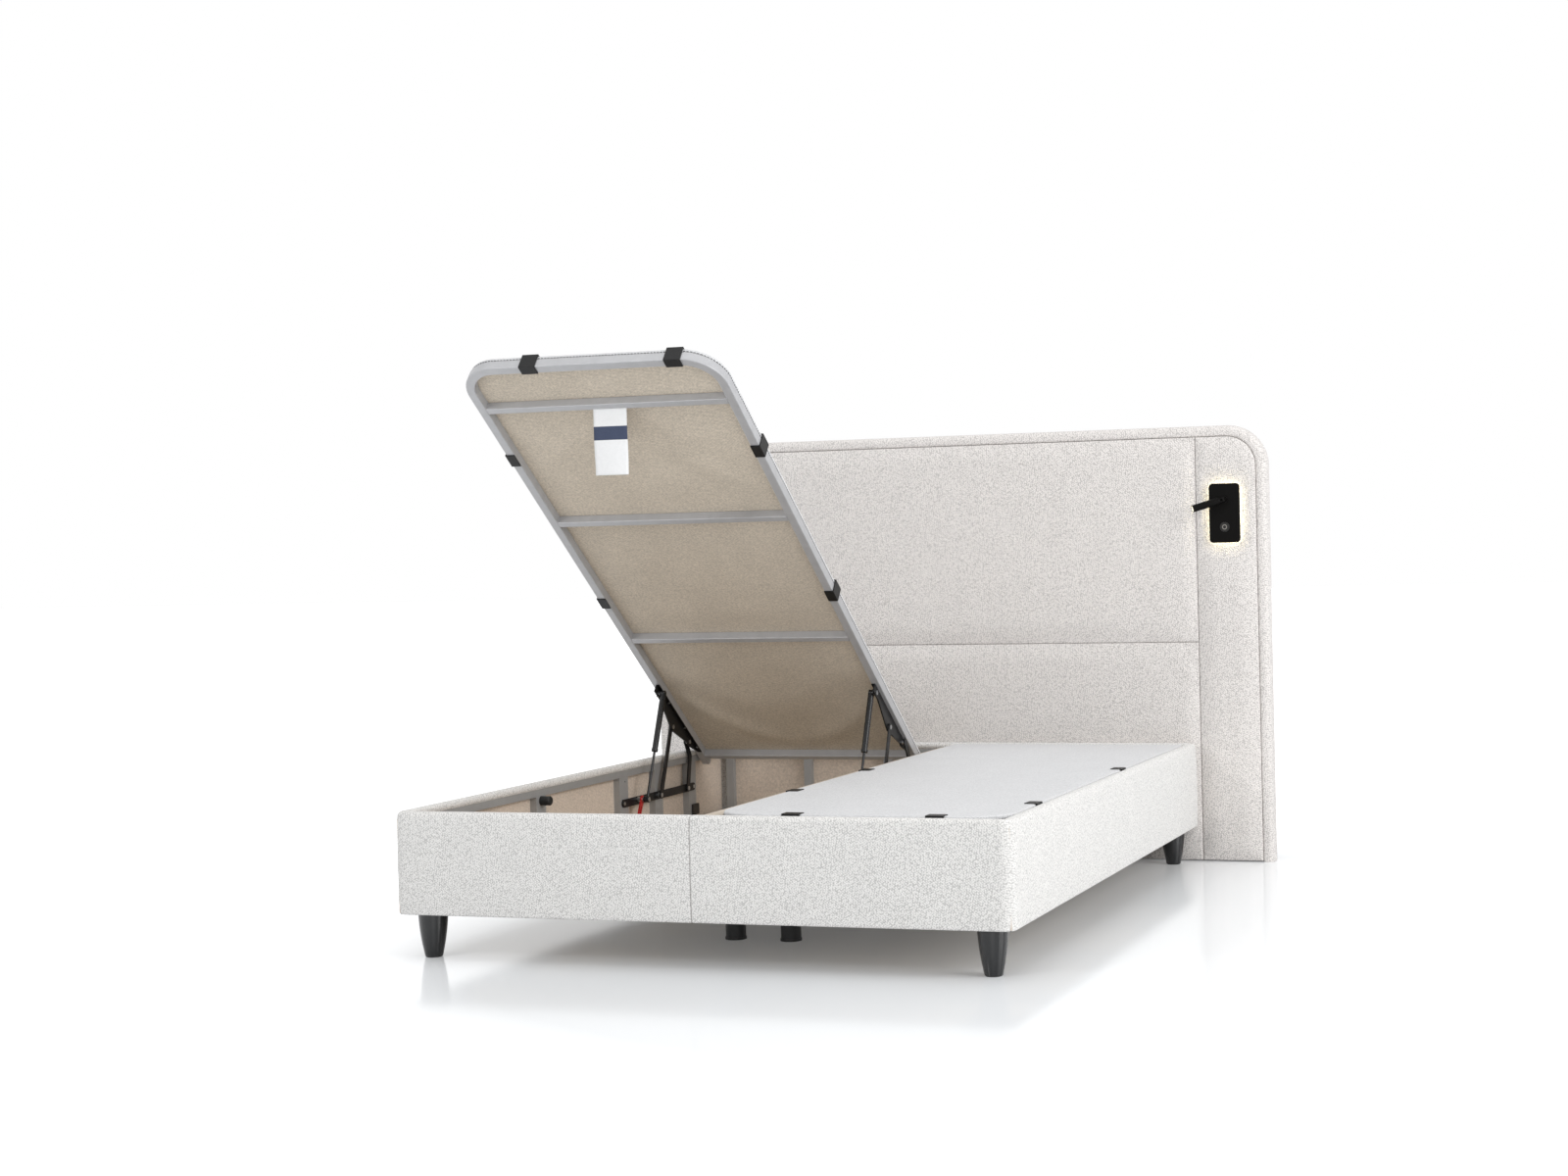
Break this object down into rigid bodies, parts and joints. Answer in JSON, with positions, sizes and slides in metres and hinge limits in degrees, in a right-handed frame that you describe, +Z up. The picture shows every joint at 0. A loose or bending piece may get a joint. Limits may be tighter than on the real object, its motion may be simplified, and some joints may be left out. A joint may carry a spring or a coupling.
{
  "type": "box spring bed",
  "caption": "Upholstered storage bed base in two halves with lift-up lids on gas struts, and a wide headboard with reading lamps.",
  "frame": {"origin": "middle of the bounding box's base, on the floor, with the left lid raised and the right lid down", "axes": "+X to the right seen from the foot of the bed, +Y towards the headboard, +Z up"},
  "size_m": [2.056, 2.1, 1.507],
  "materials": {
    "boucle": "looped boucle cloth, off-white",
    "headboard_cloth": "looped boucle cloth, pale greige",
    "lid_cloth": "smooth pale grey cover cloth over board",
    "lining": "beige lining cloth over thin board",
    "board": "panel board",
    "back_cloth": "dark backing cloth over board",
    "frame_steel": "grey powder coat, satin",
    "lift_steel": "black powder coat, satin",
    "bolt_steel": "zinc plated",
    "strut_black": "black paint, gloss",
    "strut_chrome": "polished rod",
    "clip_black": "black plastic",
    "buffer_rubber": "black rubber",
    "catch_red": "red plastic",
    "foot_wood": "charcoal lacquer, satin",
    "foot_plastic": "black plastic",
    "lamp_black": "black satin",
    "lamp_glow": "warm white light guide",
    "lamp_lens": "frosted lens",
    "button_metal": "dark brushed metal"
  },
  "bodies": {
    "bed": {"headboard_back_board": "back_cloth", "headboard_border": "headboard_cloth", "headboard_upper_pad": "headboard_cloth", "headboard_lower_pad": "headboard_cloth", "headboard_left_pad": "headboard_cloth", "headboard_right_pad": "headboard_cloth", "headboard_spacers": "frame_steel", "headboard_bolts": "bolt_steel", "lamp_back_boxes": "lamp_black", "lamp_light_guides": "lamp_glow", "lamp_face_plates": "lamp_black", "foot_panels": "boucle", "side_panels": "boucle", "head_panels": "boucle", "centre_caps": "boucle", "wall_linings": "lining", "floor_boards": "board", "top_rails": "frame_steel", "bottom_rails": "frame_steel", "side_wall_posts": "frame_steel", "end_wall_posts": "frame_steel", "floor_bearers": "frame_steel", "foot_plates": "frame_steel", "corner_feet": "foot_wood", "centre_feet": "foot_plastic", "rest_buffers": "buffer_rubber", "joint_covers": "foot_plastic", "frame_bolts": "bolt_steel", "lift_base_bars": "lift_steel", "lift_base_pins": "bolt_steel", "safety_catches": "catch_red"},
    "left_front_arms": {"left_front_arms": "lift_steel"},
    "left_lid": {"left_lid_frame": "frame_steel", "left_lid_cross_tubes": "frame_steel", "left_lid_panel": "lid_cloth", "left_lid_clips": "clip_black", "left_lift_brackets": "lift_steel", "left_bracket_pins": "bolt_steel"},
    "left_rear_arms": {"left_rear_arms": "lift_steel"},
    "left_strut_rods": {"left_strut_rods": "strut_chrome"},
    "left_strut_cylinders": {"left_strut_cylinders": "strut_black"},
    "left_lamp_button": {"left_lamp_button": "button_metal"},
    "left_lamp_swivel": {"left_lamp_swivel": "lamp_black"},
    "left_lamp_head": {"left_lamp_head": "lamp_black", "left_lamp_lens": "lamp_lens"},
    "right_front_arms": {"right_front_arms": "lift_steel"},
    "right_lid": {"right_lid_frame": "frame_steel", "right_lid_cross_tubes": "frame_steel", "right_lid_panel": "lid_cloth", "right_lid_clips": "clip_black", "right_lift_brackets": "lift_steel", "right_bracket_pins": "bolt_steel"},
    "right_rear_arms": {"right_rear_arms": "lift_steel"},
    "right_strut_rods": {"right_strut_rods": "strut_chrome"},
    "right_strut_cylinders": {"right_strut_cylinders": "strut_black"},
    "right_lamp_button": {"right_lamp_button": "button_metal"},
    "right_lamp_swivel": {"right_lamp_swivel": "lamp_black"},
    "right_lamp_head": {"right_lamp_head": "lamp_black", "right_lamp_lens": "lamp_lens"}
  },
  "joints": [
    {"name": "left_lid_lift", "type": "hinge", "parent": "bed", "child": "left_front_arms", "pos_m": [-0.3965, 0.396, 0.251], "axis": [1, 0, 0], "range_deg": [-58.56, 0]},
    {"name": "left_lid_hinge", "type": "hinge", "parent": "left_front_arms", "child": "left_lid", "pos_m": [-0.3965, 0.47787, 0.45318], "axis": [1, 0, 0], "range_deg": [0, 96.51]},
    {"name": "left_rear_arm_swing", "type": "hinge", "parent": "bed", "child": "left_rear_arms", "pos_m": [-0.3965, 0.6056, 0.25], "axis": [1, 0, 0], "range_deg": [-68.19, 0]},
    {"name": "left_strut_tilt", "type": "hinge", "parent": "bed", "child": "left_strut_rods", "pos_m": [-0.3965, 0.2523, 0.254], "axis": [1, 0, 0], "range_deg": [-51.38, 0]},
    {"name": "left_strut_slide", "type": "slide", "parent": "left_strut_rods", "child": "left_strut_cylinders", "axis": [0, 0.3889, 0.9213], "range_m": [-0.11095, 0]},
    {"name": "left_lamp_press", "type": "slide", "parent": "bed", "child": "left_lamp_button", "axis": [0, 1, 0], "range_m": [0, 0.0012], "stiffness_N_per_m": 400, "springref_m": -0.003},
    {"name": "left_lamp_turn", "type": "hinge", "parent": "bed", "child": "left_lamp_swivel", "pos_m": [-0.89953, 0.927, 1.115], "axis": [0, 1, 0], "range_deg": [-170, 170]},
    {"name": "left_lamp_tilt", "type": "hinge", "parent": "left_lamp_swivel", "child": "left_lamp_head", "pos_m": [-0.89953, 0.927, 1.115], "axis": [-0.3024, 0, -0.9532], "range_deg": [-25, 129]},
    {"name": "right_lid_lift", "type": "hinge", "parent": "bed", "child": "right_front_arms", "pos_m": [0.3965, 0.396, 0.251], "axis": [1, 0, 0], "range_deg": [0, 58.56]},
    {"name": "right_lid_hinge", "type": "hinge", "parent": "right_front_arms", "child": "right_lid", "pos_m": [0.3965, 0.6112, 0.2866], "axis": [1, 0, 0], "range_deg": [-96.51, 0]},
    {"name": "right_rear_arm_swing", "type": "hinge", "parent": "bed", "child": "right_rear_arms", "pos_m": [0.3965, 0.6056, 0.25], "axis": [1, 0, 0], "range_deg": [0, 68.19]},
    {"name": "right_strut_tilt", "type": "hinge", "parent": "bed", "child": "right_strut_rods", "pos_m": [0.3965, 0.2523, 0.254], "axis": [1, 0, 0], "range_deg": [0, 51.38]},
    {"name": "right_strut_slide", "type": "slide", "parent": "right_strut_rods", "child": "right_strut_cylinders", "axis": [0, 0.9625, 0.2714], "range_m": [0, 0.11095]},
    {"name": "right_lamp_press", "type": "slide", "parent": "bed", "child": "right_lamp_button", "axis": [0, 1, 0], "range_m": [0, 0.0012], "stiffness_N_per_m": 400, "springref_m": -0.003},
    {"name": "right_lamp_turn", "type": "hinge", "parent": "bed", "child": "right_lamp_swivel", "pos_m": [0.89953, 0.927, 1.115], "axis": [0, 1, 0], "range_deg": [-170, 170]},
    {"name": "right_lamp_tilt", "type": "hinge", "parent": "right_lamp_swivel", "child": "right_lamp_head", "pos_m": [0.89953, 0.927, 1.115], "axis": [-0.3024, 0, 0.9532], "range_deg": [-25, 129]}
  ],
  "couplings": [
    {"joint": "left_lid_hinge", "follows": "left_lid_lift", "ratio": -1.6477},
    {"joint": "left_rear_arm_swing", "follows": "left_lid_lift", "ratio": 1.164},
    {"joint": "left_strut_tilt", "follows": "left_lid_lift", "ratio": 0.87707},
    {"joint": "left_strut_slide", "follows": "left_lid_lift", "m_per_rad": 0.10853},
    {"joint": "right_lid_hinge", "follows": "right_lid_lift", "ratio": -1.6477},
    {"joint": "right_rear_arm_swing", "follows": "right_lid_lift", "ratio": 1.164},
    {"joint": "right_strut_tilt", "follows": "right_lid_lift", "ratio": 0.87707},
    {"joint": "right_strut_slide", "follows": "right_lid_lift", "m_per_rad": 0.10853}
  ]
}
